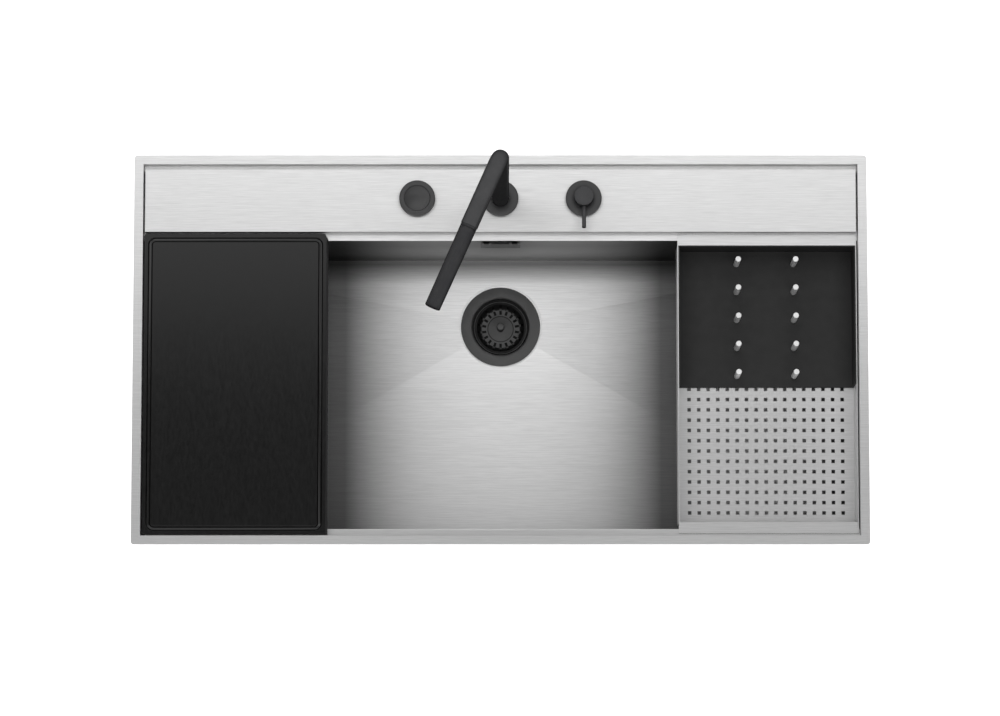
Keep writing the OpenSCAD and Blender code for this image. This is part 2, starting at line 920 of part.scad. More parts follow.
// Hollow screw that draws the cup and the waste body together
module drain_screw() {
    head_h = 2.4;
    color(dark_steel)
        at_drain()
            difference() {
                union() {
                    rod(hub_r, cup_floor_z, cup_floor_z + head_h);
                    rod(screw_r, hub_low, cup_floor_z);
                }
                rod(pin_r + fit, hub_low - over, cup_floor_z + head_h + over);
            }
}

module lift_pin() {
    color(dark_steel)
        at_drain()
            rod(pin_r, rocker_z + rocker_r + loose, basket_floor_z - loose);
}

// Rocker that the cable pulls: a round nose under the pin, and a tail heavy enough to balance it
module lift_rocker() {
    tail = 13;
    arm_w = 2 * pin_r;
    color(black)
        at_drain()
            translate([0, 0, rocker_z])
                difference() {
                    union() {
                        box(-arm_w / 2, arm_w / 2, 0, rocker_len, -rocker_r, rocker_r);
                        rod_x(rocker_r, -arm_w / 2, arm_w / 2);
                        translate([0, rocker_len, 0])
                            rod_x(rocker_eye_r, -rocker_w / 2, rocker_w / 2);
                        box(-rocker_w / 2, rocker_w / 2, rocker_len, rocker_len + tail,
                            -rocker_eye_r, rocker_eye_r);
                    }
                    translate([0, rocker_len, 0])
                        rod_x(rocker_r + fit, -rocker_w / 2 - over, rocker_w / 2 + over);
                }
}

module rocker_pivot() {
    half = rocker_w / 2 + loose + 3;
    color(dark_steel)
        at_drain()
            translate([0, rocker_len, rocker_z])
                rod_x(rocker_r, -half, half);
}

/* Strainer basket */

stud_r = 3.7;
disc_rise = 0.5;
basket_disc_z = basket_floor_z + basket_t + disc_rise;

module strainer_basket() {
    wall_top_r = step_r - 0.8;
    rim_low = step_z + glide;
    edge = 0.5;
    slot_in = basket_disc_r + 2.3;
    slot_out = basket_floor_r - 1.7;
    color(black)
        at_drain()
            difference() {
                rotate_extrude()
                    polygon([
                        [stud_r, basket_floor_z],
                        [basket_floor_r, basket_floor_z],
                        [wall_top_r, rim_low],
                        [basket_r, rim_low],
                        [basket_r, step_z + basket_rim_h - edge],
                        [basket_r - edge, step_z + basket_rim_h],
                        [wall_top_r - basket_t, step_z + basket_rim_h],
                        [basket_floor_r - basket_t, basket_floor_z + basket_t],
                        [basket_disc_r, basket_floor_z + basket_t],
                        [basket_disc_r - disc_rise, basket_disc_z],
                        [stud_r, basket_disc_z]
                    ]);
                for (i = [0:slots - 1])
                    rotate([0, 0, 360 / slots * (i + 0.5)]) {
                        box(slot_in, slot_out, -slot_w / 2, slot_w / 2,
                            basket_floor_z - over, basket_floor_z + basket_t + over);
                        box(basket_floor_r - 2 * basket_t, basket_r, -slot_w / 2, slot_w / 2,
                            basket_floor_z + 2 * basket_t, rim_low - basket_t);
                    }
            }
}

module basket_knob() {
    neck_r = knob_r - 1;
    grip_h = 9;
    flare = 2;
    edge = 1.2;
    top = basket_disc_z + knob_h;
    color(black)
        at_drain()
            rotate_extrude()
                polygon([
                    [0, basket_floor_z],
                    [stud_r - fit, basket_floor_z],
                    [stud_r - fit, basket_disc_z],
                    [neck_r, basket_disc_z],
                    [neck_r, top - grip_h],
                    [knob_r, top - grip_h + flare],
                    [knob_r, top - edge],
                    [knob_r - edge, top],
                    [0, top]
                ]);
}

// Closes on the solid ring between the cup's windows and its wall
module basket_seal() {
    seal_bore_r = window_r + 0.5;
    color(rubber)
        at_drain()
            tube(basket_disc_r + 1.7, seal_bore_r, cup_floor_z + loose, basket_floor_z);
}

/* Shanks, seals and nuts shared by the three bases */

base_seal_t = 1;
base_low = deck_top + base_seal_t;
base_top = deck_top + base_h;
base_cap_t = 3;
base_edge = 1;
base_pocket = base_top - base_cap_t;
shank_top = base_pocket - glide;
rubber_t = 2;
washer_t = 1.5;
washer_r = hole_r + 4.5;
nut_h = 8;
nut_r = 24;
nut_high = shelf_low - rubber_t - washer_t;

module at_taps() {
    for (x = tap_xs)
        translate([x, tap_y, 0])
            children();
}

module at_tap(i) {
    translate([tap_xs[i], tap_y, 0])
        children();
}

module base_seals() {
    color(rubber)
        at_taps()
            tube(base_r - 1, shank_r + loose, deck_top, base_low);
}

module shank_seals() {
    color(rubber)
        at_taps()
            tube(washer_r, shank_r + loose, shelf_low - rubber_t, shelf_low);
}

module shank_washers() {
    color(steel)
        at_taps()
            tube(washer_r, shank_r + loose, nut_high, nut_high + washer_t);
}

module shank_nuts() {
    color("#b79a55")
        at_taps()
            difference() {
                translate([0, 0, nut_high - nut_h])
                    cylinder(r = nut_r, h = nut_h, $fn = 6);
                rod(shank_r + fit, nut_high - nut_h - over, nut_high + over);
            }
}

// A round base with a softened top edge, a bore and a pocket for the shank
module round_base(bore_r) {
    difference() {
        rotate_extrude()
            polygon([
                [bore_r, base_low],
                [base_r, base_low],
                [base_r, base_top - base_edge],
                [base_r - 0.3 * base_edge, base_top - 0.3 * base_edge],
                [base_r - base_edge, base_top],
                [bore_r, base_top]
            ]);
        rod(shank_r + fit, base_low - over, base_pocket);
    }
}

/* Tap */

spout_z = deck_top + spout_h;
bush_t = 1.5;
shank_bore = tube_r + bush_t;
tube_bore = tube_r - tube_t;
tube_low = shelf_low - 30;
bush_low = tube_low + 2;
shank_low = tube_low - 18;
shank_step = tube_low - 6;
hose_way_r = 8;
// Snap ring in a groove of the tube, under the bush
circlip_t = 1;
groove_bottom_r = tube_r - 0.6;
circlip_top = bush_low - glide;
// Docking ring: collar that shows, and sleeve in the tube
dock_collar = 3;
dock_sleeve = 10;
dock_t = 1.5;
plug_r = tube_bore - dock_t;
spray_start = tube_reach + dock_collar + loose;
plug_len = dock_sleeve + dock_collar - 2;
spray_hose_r = 5;
water_r = 3;
outlet_u = reach - 15;
outlet_in = 4;

module at_spout() {
    translate([0, tap_y, spout_z])
        rotate([0, 0, -90 - spout_turn])
            children();
}

module tap_base() {
    color(black)
        at_tap(1)
            round_base(tube_r + loose);
}

module tap_shank() {
    color("#b79a55")
        at_tap(1)
            difference() {
                rod(shank_r, shank_low, shank_top);
                rod(shank_bore, shank_step, shank_top + over);
                rod(hose_way_r, shank_low - over, shank_top);
            }
}

module swivel_bush() {
    color(plastic)
        at_tap(1)
            tube(shank_bore - fit, tube_r + fit, bush_low, shank_top);
}

module tap_circlip() {
    color(dark_steel)
        at_tap(1)
            tube(shank_bore - 2 * glide, groove_bottom_r, circlip_top - circlip_t, circlip_top);
}

// The tube's way up and along the spout, with short cores across the elbow's two joints
module tube_path(r) {
    core_r = r - 0.3;
    core_h = 1;
    translate([0, tap_y, 0]) {
        rod(r, tube_low, spout_z - elbow_r);
        rod(core_r, spout_z - elbow_r - core_h, spout_z - elbow_r + core_h);
    }
    at_spout() {
        rod_x(r, elbow_r, tube_reach);
        rod_x(core_r, elbow_r - core_h, elbow_r + core_h);
        translate([elbow_r, 0, -elbow_r])
            rotate([90, 0, 0])
                rotate([0, 0, 90])
                    rotate_extrude(angle = 90)
                        translate([elbow_r, 0])
                            circle(r = r);
    }
}

module spout_tube() {
    color(black)
        difference() {
            tube_path(tube_r);
            tube_path(tube_bore);
            translate([0, tap_y, 0])
                rod(tube_bore, tube_low - over, tube_low + over);
            at_spout()
                rod_x(tube_bore, tube_reach - over, tube_reach + over);
            at_tap(1)
                tube(tube_r + over, groove_bottom_r, circlip_top - circlip_t, circlip_top);
        }
}

module docking_ring() {
    color(rubber)
        at_spout()
            difference() {
                union() {
                    rod_x(spray_r + fit, tube_reach, tube_reach + dock_collar);
                    rod_x(tube_bore - fit, tube_reach - dock_sleeve, tube_reach);
                }
                rod_x(plug_r + fit, tube_reach - dock_sleeve - over, tube_reach + dock_collar + over);
            }
}

module hand_spray() {
    edge = 0.4;
    tip_edge = 1;
    color(black)
        at_spout()
            difference() {
                union() {
                    rotate([0, 90, 0])
                        rotate_extrude()
                            polygon([
                                [0, spray_start],
                                [spray_r - edge, spray_start],
                                [spray_r, spray_start + edge],
                                [spray_tip_r, reach - tip_edge],
                                [spray_tip_r - tip_edge, reach],
                                [0, reach]
                            ]);
                    rod_x(plug_r, spray_start - plug_len, spray_start);
                }
                translate([outlet_u, 0, -spray_tip_r])
                    rod(outlet_face_r + fit, -over, outlet_in);
                rod_x(water_r, spray_start - plug_len - over, outlet_u);
                translate([outlet_u, 0, -spray_tip_r])
                    rod(water_r, 0, spray_tip_r);
            }
}

module spray_outlet() {
    proud = 1.5;
    color(dark_steel)
        at_spout()
            translate([outlet_u, 0, -spray_tip_r])
                rod(outlet_face_r, -proud, outlet_in - fit);
}

// The end of the pull-out hose inside the spout
module spray_hose() {
    color(dark_steel)
        at_spout()
            rod_x(spray_hose_r, elbow_r, spray_start - plug_len);
}

/* Mixer */

pivot_z = base_low + 0.5;
stem_r = 4;
stem_in = 7;
cartridge_r = 12.5;
cartridge_low = shelf_low - 16;
cartridge_top = pivot_z - 2;
rotor_r = 7.7;
nut_bore_r = rotor_r + 0.5;
nut_neck_r = cartridge_r - 1.5;
rotor_low = pivot_z - 9.7;
rotor_top = pivot_z + 3;
slot_floor = pivot_z - stem_r - 0.4;
rotor_pin_r = 1.2;
grub_r = 2;
grub_z = base_top + head_gap + 5;
head_low = base_top + head_gap;
head_high = base_top + head_top;
mixer_low = cartridge_low - port_h - 16;
port_ring = 8.8;
lever_z = head_low + 3.2;
lever_in = stem_r + 2;

module mixer_base() {
    color(black)
        at_tap(2)
            round_base(nut_neck_r + loose);
}

module mixer_body() {
    color("#b79a55")
        at_tap(2)
            difference() {
                rod(shank_r, mixer_low, shank_top);
                rod(cartridge_r + fit, cartridge_low, shank_top + over);
                for (a = [90, 210, 330])
                    rotate([0, 0, a])
                        translate([port_ring, 0, 0]) {
                            rod(port_r, mixer_low - over, mixer_low + port_h);
                            rod(port_r / 2, mixer_low, cartridge_low + over);
                        }
            }
}

module cartridge() {
    color(plastic)
        at_tap(2)
            difference() {
                rod(cartridge_r, cartridge_low, cartridge_top);
                rod(nut_bore_r, rotor_low - loose, cartridge_top + over);
            }
}

module cartridge_nut() {
    color("#b79a55")
        at_tap(2)
            difference() {
                union() {
                    rod(cartridge_r, cartridge_top, base_pocket - glide);
                    rod(nut_neck_r, cartridge_top, base_top - 1);
                }
                rod(nut_bore_r, cartridge_top - over, base_top);
            }
}

// The part of the cartridge that turns, slotted for the stem
module cartridge_rotor() {
    color("#9fb7c9")
        at_tap(2)
            difference() {
                rod(rotor_r, rotor_low, rotor_top);
                box(-stem_r - loose, stem_r + loose, -rotor_r - over, rotor_r + over,
                    slot_floor, rotor_top + over);
                translate([0, 0, pivot_z])
                    rod_x(rotor_pin_r, -rotor_r - over, rotor_r + over);
            }
}

module rotor_pin() {
    color(dark_steel)
        at_tap(2)
            translate([0, 0, pivot_z])
                rod_x(rotor_pin_r - fit / 5, -rotor_r + loose, rotor_r - loose);
}

module mixer_stem() {
    color(dark_steel)
        at_tap(2)
            difference() {
                union() {
                    rod(stem_r, pivot_z, head_low + stem_in);
                    translate([0, 0, pivot_z])
                        rod_x(stem_r, -stem_r, stem_r);
                }
                translate([0, 0, pivot_z])
                    rod_x(rotor_pin_r + fit, -stem_r - over, stem_r + over);
            }
}

module lever_rod(r, start, end) {
    translate([0, 0, lever_z])
        rotate([0, 0, -90])
            rotate([0, -lever_rise, 0])
                rod_x(r, start, end);
}

module mixer_head() {
    foot_in = 2.5;
    foot_h = 3;
    edge = 0.8;
    color(black)
        at_tap(2)
            difference() {
                rotate_extrude()
                    polygon([
                        [0, head_low],
                        [head_r - foot_in, head_low],
                        [head_r, head_low + foot_h],
                        [head_r, head_high - edge],
                        [head_r - edge, head_high],
                        [0, head_high]
                    ]);
                rod(stem_r + fit, head_low - over, head_low + stem_in + fit);
                lever_rod(lever_r + fit, lever_in, head_r + lever_in);
                translate([0, 0, grub_z])
                    rod_y(grub_r + fit, 0, head_r + over);
            }
}

module mixer_lever() {
    lever_len = lever_reach / cos(lever_rise);
    color(black)
        at_tap(2)
            lever_rod(lever_r, lever_in + glide, lever_len);
}

module head_screw() {
    color(dark_steel)
        at_tap(2)
            translate([0, 0, grub_z])
                rod_y(grub_r, stem_r + fit, head_r - grub_r);
}

/* Waste control */

button_r = 16.8;
waste_bore = button_r + loose;
waste_wall = 2;
waste_in_r = shank_r - waste_wall;
lip_t = 1.7;
button_top = base_top - glide;
button_low = base_low + lip_t + button_travel + loose;
spring_seat = shelf_low - 2;
spring_r = 7;
wire_t = 1.5;
guide_r = 4;
guide_low = spring_seat - 12;
waste_low = shelf_low - 34;
neck_way = 7;

module waste_base() {
    color(black)
        at_tap(0)
            rotate_extrude()
                polygon([
                    [waste_in_r, base_low],
                    [base_r, base_low],
                    [base_r, base_top - base_edge],
                    [base_r - 0.3 * base_edge, base_top - 0.3 * base_edge],
                    [base_r - base_edge, base_top],
                    [waste_bore, base_top],
                    [waste_bore, base_low + lip_t],
                    [waste_in_r, base_low + lip_t]
                ]);
}

module waste_housing() {
    color(plastic)
        at_tap(0)
            difference() {
                rod(shank_r, waste_low, base_low);
                rod(waste_in_r, spring_seat, base_low + over);
                rod(guide_r + fit, waste_low + neck_way - over, spring_seat + over);
                rod(gland_neck_r, waste_low - over, waste_low + neck_way);
            }
}

module waste_button() {
    edge = 0.4;
    color(black)
        at_tap(0)
            union() {
                rotate_extrude()
                    polygon([
                        [0, button_low],
                        [button_r, button_low],
                        [button_r, button_top - edge],
                        [button_r - edge, button_top],
                        [0, button_top]
                    ]);
                rod(guide_r, guide_low, button_low);
            }
}

module waste_spring() {
    color(dark_steel)
        at_tap(0)
            tube(spring_r, spring_r - wire_t, spring_seat, button_low);
}

// A gland along Z with its neck upwards from z = 0
module gland(neck_h) {
    root = 1;
    difference() {
        union() {
            rod(gland_neck_r - fit, -root, neck_h);
            rod(gland_r, -gland_h, 0);
        }
        rod(gland_bore, -gland_h - over, neck_h + over);
    }
}

// Glands for the cable between the control and the drain
module cable_glands() {
    color(rubber) {
        at_tap(0)
            translate([0, 0, waste_low])
                gland(neck_way - 2);
        at_drain()
            translate([0, body_r + body_t + gland_stub, rocker_z])
                rotate([90, 0, 0])
                    gland(body_t + gland_stub);
    }
}

/* Cutting board */

board_left = -inner_x + board_side_gap;
board_right = board_left + board_w;
board_front = -inner_y + board_front_gap;
board_back = deck_front - board_back_gap;
board_d = board_back - board_front;
board_low = ledge_z + glide;
board_top = board_low + board_t;

module cutting_board() {
    corner_x = 4.5;
    corner_y = 9;
    corner_left = 1;
    groove_r = 10;
    top_right = board_right - board_bevel;
    color(board_black)
        difference() {
            intersection() {
                translate([0, 0, board_low])
                    linear_extrude(board_t)
                        polygon([
                            [board_left, board_front],
                            [board_right, board_front],
                            [board_right, board_back - corner_y],
                            [board_right - corner_x, board_back],
                            [board_left + corner_left, board_back],
                            [board_left, board_back - corner_left]
                        ]);
                translate([0, board_back + over, 0])
                    rotate([90, 0, 0])
                        linear_extrude(board_d + 2 * over)
                            polygon([
                                [board_left, board_low],
                                [board_right, board_low],
                                [board_right, board_top - board_bevel],
                                [top_right, board_top],
                                [board_left, board_top]
                            ]);
            }
            translate([0, 0, board_top - groove_t])
                linear_extrude(groove_t + over)
                    difference() {
                        round_rect(board_left + groove_in, top_right - groove_in,
                                   board_front + groove_in, board_back - groove_in, groove_r);
                        round_rect(board_left + groove_in + groove_w, top_right - groove_in - groove_w,
                                   board_front + groove_in + groove_w,
                                   board_back - groove_in - groove_w, groove_r - groove_w);
                    }
        }
}

/* Perforated tray */

tray_right = inner_x - tray_side_gap;
tray_left = tray_right - tray_w;
tray_mid = (tray_left + tray_right) / 2;
tray_front = -inner_y + tray_front_gap;
tray_back = deck_front - tray_back_gap;
tray_seat = ledge_z + glide;
tray_top = tray_seat + tray_t;
tray_low = tray_top - tray_h;
tray_in_front = tray_front + tray_flange;
tray_in_back = tray_back - tray_flange;

module perforated_tray() {
    hole_span = tray_w - 2 * (tray_t + perf_side_margin);
    cols = floor(hole_span / perf_pitch_x) + 1;
    rows = floor((tray_in_back - tray_in_front - 2 * perf_front) / perf_pitch_y) + 1;
    first_x = tray_mid - (cols - 1) / 2 * perf_pitch_x;
    first_y = tray_in_front + perf_front;
    color(steel) {
        translate([0, 0, tray_low])
            linear_extrude(tray_t)
                difference() {
                    translate([tray_left, tray_in_front - tray_t])
                        square([tray_w, tray_in_back - tray_in_front + 2 * tray_t]);
                    for (i = [0:cols - 1], j = [0:rows - 1])
                        translate([first_x + i * perf_pitch_x, first_y + j * perf_pitch_y])
                            square(perf_side, center = true);
                }
        for (x = [tray_left, tray_right - tray_t])
            box(x, x + tray_t, tray_in_front - tray_t, tray_in_back + tray_t,
                tray_low + tray_t, tray_top);
        for (y = [tray_in_front - tray_t, tray_in_back])
            box(tray_left + tray_t, tray_right - tray_t, y, y + tray_t, tray_low + tray_t, tray_top);
        box(tray_left, tray_right, tray_front, tray_in_front - tray_t, tray_seat, tray_top);
        box(tray_left, tray_right, tray_in_back + tray_t, tray_back, tray_seat, tray_top);
    }
}

/* Peg insert */

insert_left = tray_left + tray_t + loose;
insert_right = tray_right - tray_t - loose;
insert_back = tray_in_back - loose;
insert_front = insert_back - insert_d;
insert_low = tray_low + tray_t + glide;
insert_floor = insert_low + insert_t;
insert_top = tray_top;
peg_screw_r = 2;
peg_csk_h = 1.2;
peg_thread = 9;

module at_pegs() {
    for (side = [-1, 1], j = [0:peg_rows - 1])
        translate([tray_mid + side * peg_pitch_x / 2, insert_back - peg_back - j * peg_pitch_y, 0])
            children();
}

module peg_insert() {
    color("#2f2f30")
        difference() {
            union() {
                box(insert_left, insert_right, insert_front, insert_back, insert_low, insert_floor);
                box(insert_left, insert_left + insert_t, insert_front, insert_back, insert_low, insert_top);
                box(insert_right - insert_t, insert_right, insert_front, insert_back,
                    insert_low, insert_top);
                box(insert_left, insert_right, insert_back - insert_t, insert_back,
                    insert_low, insert_top);
            }
            at_pegs()
                rod(peg_screw_r + fit, insert_low - over, insert_floor + over);
            at_pegs()
                translate([0, 0, insert_low])
                    cylinder(r1 = peg_screw_r + peg_csk_h, r2 = peg_screw_r, h = peg_csk_h);
        }
}

module pegs() {
    edge = 0.5;
    color(steel)
        at_pegs()
            difference() {
                rotate_extrude()
                    polygon([
                        [0, insert_floor],
                        [peg_r, insert_floor],
                        [peg_r, insert_floor + peg_h - edge],
                        [peg_r - edge, insert_floor + peg_h],
                        [0, insert_floor + peg_h]
                    ]);
                rod(peg_screw_r + fit, insert_floor - over, insert_floor + peg_thread + 1);
            }
}

module peg_screws() {
    color(dark_steel)
        at_pegs() {
            translate([0, 0, insert_low])
                cylinder(r1 = peg_screw_r + peg_csk_h - fit, r2 = peg_screw_r - fit, h = peg_csk_h);
            rod(peg_screw_r, insert_low + peg_csk_h / 2, insert_floor + peg_thread);
        }
}

sink_bowl();
rim_frame();
rim_gasket();
tap_deck();
sound_pads();
clip_rails();
mounting_clips();
clip_screws();
overflow_cover();
overflow_screws();
overflow_gasket();
overflow_housing();
overflow_hose();
overflow_elbow();
hose_clips();
drain_flange();
drain_seals();
drain_body();
drain_outlet();
drain_bridge();
drain_screw();
lift_pin();
lift_rocker();
rocker_pivot();
strainer_basket();
basket_knob();
basket_seal();
base_seals();
shank_seals();
shank_washers();
shank_nuts();
tap_base();
tap_shank();
swivel_bush();
tap_circlip();
spout_tube();
docking_ring();
hand_spray();
spray_outlet();
spray_hose();
mixer_base();
mixer_body();
cartridge();
cartridge_nut();
cartridge_rotor();
rotor_pin();
mixer_stem();
mixer_head();
mixer_lever();
head_screw();
waste_base();
waste_housing();
waste_button();
waste_spring();
cable_glands();
cutting_board();
perforated_tray();
peg_insert();
pegs();
peg_screws();
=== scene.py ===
"""Looks of the workstation kitchen sink: finishes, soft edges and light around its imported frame."""

import json
import math

import bpy
from mathutils import Matrix, Vector

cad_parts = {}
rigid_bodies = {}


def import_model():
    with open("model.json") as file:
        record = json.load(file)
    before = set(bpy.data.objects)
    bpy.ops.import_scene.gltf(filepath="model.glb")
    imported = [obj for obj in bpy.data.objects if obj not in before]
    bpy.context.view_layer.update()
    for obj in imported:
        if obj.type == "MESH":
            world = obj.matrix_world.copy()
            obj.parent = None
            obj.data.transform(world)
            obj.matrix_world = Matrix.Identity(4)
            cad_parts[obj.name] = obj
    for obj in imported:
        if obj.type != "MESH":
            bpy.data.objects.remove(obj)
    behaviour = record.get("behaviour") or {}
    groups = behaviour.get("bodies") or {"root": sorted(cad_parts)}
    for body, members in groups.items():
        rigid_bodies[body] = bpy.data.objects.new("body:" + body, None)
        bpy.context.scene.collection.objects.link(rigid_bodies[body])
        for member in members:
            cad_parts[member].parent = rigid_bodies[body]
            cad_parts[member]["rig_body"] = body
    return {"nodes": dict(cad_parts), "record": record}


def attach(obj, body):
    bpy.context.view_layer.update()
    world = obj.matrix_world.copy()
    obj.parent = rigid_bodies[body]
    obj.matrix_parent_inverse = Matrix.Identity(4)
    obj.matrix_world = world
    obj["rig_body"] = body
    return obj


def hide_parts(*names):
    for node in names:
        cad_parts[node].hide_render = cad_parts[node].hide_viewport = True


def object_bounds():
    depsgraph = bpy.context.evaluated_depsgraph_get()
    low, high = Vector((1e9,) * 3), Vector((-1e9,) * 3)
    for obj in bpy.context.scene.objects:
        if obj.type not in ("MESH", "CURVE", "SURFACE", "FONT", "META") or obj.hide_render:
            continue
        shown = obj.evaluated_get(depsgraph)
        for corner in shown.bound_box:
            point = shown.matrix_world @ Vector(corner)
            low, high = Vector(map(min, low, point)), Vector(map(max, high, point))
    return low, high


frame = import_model()
cad_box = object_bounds()

MM = 0.001

# Places in the frame, in mm
DRAIN_Y = 55
BOWL_MIDDLE = Vector((0, -45, -60)) * MM

# Points closer than this are one point
WELD = 0.002 * MM

# ---------------------------------------------------------------- selection and edit mode


def pick(piece):
    """Makes this piece the only selected and the active one."""
    bpy.ops.object.select_all(action="DESELECT")
    piece.select_set(True)
    bpy.context.view_layer.objects.active = piece


def edit(piece):
    """Opens edit mode with all of the piece selected."""
    pick(piece)
    bpy.ops.object.mode_set(mode="EDIT")
    bpy.ops.mesh.select_all(action="SELECT")


def done():
    bpy.ops.object.mode_set(mode="OBJECT")


def primitive(kind, name, **settings):
    """Adds a mesh primitive at its size and place, named and selected alone."""
    bpy.ops.object.select_all(action="DESELECT")
    getattr(bpy.ops.mesh, f"primitive_{kind}_add")(**settings)
    piece = bpy.context.object
    piece.name = name
    piece.data.name = name
    return piece


def settle(piece):
    """Puts the piece's place, turn and scale into its mesh."""
    pick(piece)
    bpy.ops.object.transform_apply(location=True, rotation=True, scale=True)
    return piece


def apply_modifier(piece, kind, **settings):
    """Adds one modifier with its settings and applies it."""
    modifier = piece.modifiers.new(kind.title(), kind)
    for name, value in settings.items():
        setattr(modifier, name, value)
    pick(piece)
    bpy.ops.object.modifier_apply(modifier=modifier.name)
    return piece


def soften(piece, width, segments=2, sharp=30):
    """Rounds every edge sharper than the given angle, width in mm."""
    return apply_modifier(
        piece,
        "BEVEL",
        width=width * MM,
        segments=segments,
        limit_method="ANGLE",
        angle_limit=math.radians(sharp),
        use_clamp_overlap=True,
    )


def smooth(piece, angle=32):
    """Shades the piece smooth except over edges sharper than the angle."""
    pick(piece)
    bpy.ops.object.shade_smooth_by_angle(angle=math.radians(angle))
    return piece


def outwards(piece):
    """Closes the seams and turns every face to the outside."""
    edit(piece)
    bpy.ops.mesh.remove_doubles(threshold=WELD)
    bpy.ops.mesh.normals_make_consistent(inside=False)
    done()
    return piece


def dress(piece, body, slot, finish, *nodes):
    """Gives a finished piece its finish, its body and the CAD nodes that it stands for."""
    piece.data.materials.clear()
    piece.data.materials.append(finish)
    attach(piece, body)
    if nodes:
        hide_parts(*nodes)
    return piece


# ---------------------------------------------------------------- ways to make a piece


def turned(name, outline, centre, sides=96):
    """A turned ring: a circle drawn up and down along (radius, height) steps in mm."""
    radius, height = outline[0]
    place = Vector((centre[0], centre[1], height * MM))
    piece = primitive(
        "circle", name, vertices=sides, radius=radius * MM, fill_type="NOTHING", location=place,
    )
    settle(piece)
    edit(piece)
    for new_radius, new_height in outline[1:]:
        bpy.ops.mesh.extrude_region_move(
            TRANSFORM_OT_translate={"value": (0, 0, (new_height - height) * MM)}
        )
        grow = new_radius / radius
        bpy.ops.transform.resize(
            value=(grow, grow, 1),
            center_override=(centre[0], centre[1], new_height * MM),
        )
        radius, height = new_radius, new_height
    done()
    return outwards(piece)


def refined(node, softened=0):
    """A copy of a CAD node's mesh as one skin, with its flat faces whole and its edges softened."""
    source = frame["nodes"][node]
    piece = source.copy()
    piece.data = source.data.copy()
    piece.parent = None
    piece.name = node + "_finished"
    for key in list(piece.keys()):
        del piece[key]
    bpy.context.scene.collection.objects.link(piece)
    edit(piece)
    bpy.ops.mesh.remove_doubles(threshold=WELD)
    bpy.ops.mesh.dissolve_limited(angle_limit=math.radians(0.4))
    done()
    if softened:
        soften(piece, softened)
    smooth(piece)
    if softened:
        apply_modifier(piece, "WEIGHTED_NORMAL", keep_sharp=True, weight=100)
    return piece


def span(node):
    """The lowest and highest corner of a CAD node, in mm."""
    piece = frame["nodes"][node]
    points = [piece.matrix_world @ Vector(corner) for corner in piece.bound_box]
    return (
        Vector([min(p[i] for p in points) / MM for i in range(3)]),
        Vector([max(p[i] for p in points) / MM for i in range(3)]),
    )


# ---------------------------------------------------------------- materials


def colour(hex_code):
    """An sRGB hex value as linear red, green, blue and alpha."""
    channels = [int(hex_code[i:i + 2], 16) / 255 for i in (1, 3, 5)]
    return [c / 12.92 if c <= 0.04045 else ((c + 0.055) / 1.055) ** 2.4 for c in channels] + [1]


def add(tree, kind, settings=None, *values, **named_values):
    """Adds a shader node with its settings, and its inputs in order or by name.

    An input given as a socket is linked, one given as a node is linked from that node's first
    output, and any other value is set.
    """
    new = tree.nodes.new("ShaderNode" + kind)
    for name, value in (settings or {}).items():
        setattr(new, name, value)
    inputs = list(enumerate(values))
    inputs += [(name.replace("_", " "), value) for name, value in named_values.items()]
    for place, value in inputs:
        source = value.outputs[0] if isinstance(value, bpy.types.Node) else value
        if isinstance(source, bpy.types.NodeSocket):
            tree.links.new(source, new.inputs[place])
        else:
            new.inputs[place].default_value = source
    return new


def blank(name, **surface_inputs):
    """A new material with one surface shader: the material, its tree and the shader."""
    material = bpy.data.materials.new(name)
    material.use_nodes = True
    tree = material.node_tree
    tree.nodes.clear()
    surface = add(tree, "BsdfPrincipled", **surface_inputs)
    add(tree, "OutputMaterial", Surface=surface)
    return material, tree, surface


def parts_of_place(tree):
    """The point's place on the piece in metres, as "X", "Y" and "Z"."""
    place = add(tree, "TexCoord").outputs["Object"]
    return add(tree, "SeparateXYZ", Vector=place).outputs


def faces_up(tree):
    """How far the surface faces up: 1 on top, 0 on an upright side."""
    normal = add(tree, "NewGeometry").outputs["Normal"]
    return add(tree, "SeparateXYZ", Vector=normal).outputs["Z"]


def noise(tree, size, detail=3.0, roughness=0.55):
    """Cloudy pattern on the object, size = (x, y, z) of one patch in mm."""
    place = add(tree, "TexCoord").outputs["Object"]
    scale = [1 / (s * MM) for s in size]
    spread = add(tree, "Mapping", Vector=place, Scale=scale).outputs["Vector"]
    return add(
        tree, "TexNoise", Vector=spread, Scale=1.0, Detail=detail, Roughness=roughness
    ).outputs["Fac"]


def clouds_of(tree, size, detail):
    """Noise with round patches of one size in mm."""
    return noise(tree, (size, size, size), detail)


def between(tree, pattern, low, high, start=0.3, end=0.7):
    """The pattern as a number from low to high, and no further."""
    return add(
        tree, "MapRange", {"clamp": True},
        Value=pattern, From_Min=start, From_Max=end, To_Min=low, To_Max=high,
    ).outputs["Result"]


def shades(tree, pattern, dark, light, start=0.3, end=0.7):
    """The pattern as a colour from dark to light, both hex."""
    ramp = add(tree, "ValToRGB", Fac=pattern)
    ramp.color_ramp.elements[0].position = start
    ramp.color_ramp.elements[0].color = colour(dark)
    ramp.color_ramp.elements[1].position = end
    ramp.color_ramp.elements[1].color = colour(light)
    return ramp.outputs["Color"]


def over(tree, distance, stretch, low, high):
    """From low to high over a stretch, from and to in mm, of a distance in metres."""
    start, end = stretch
    return between(tree, distance, low, high, start * MM, end * MM)


def wire(tree, source, shader, name):
    tree.links.new(source, shader.inputs[name])


def skin(tree, shader, tone, roughness):
    """Gives the shader its colour and its roughness."""
    wire(tree, tone, shader, "Base Color")
    wire(tree, roughness, shader, "Roughness")


def relief(tree, pattern, shader, depth, strength):
    """Bump of the given depth in mm."""
    bump = add(tree, "Bump", Height=pattern, Distance=depth * MM, Strength=strength)
    wire(tree, bump.outputs["Normal"], shader, "Normal")


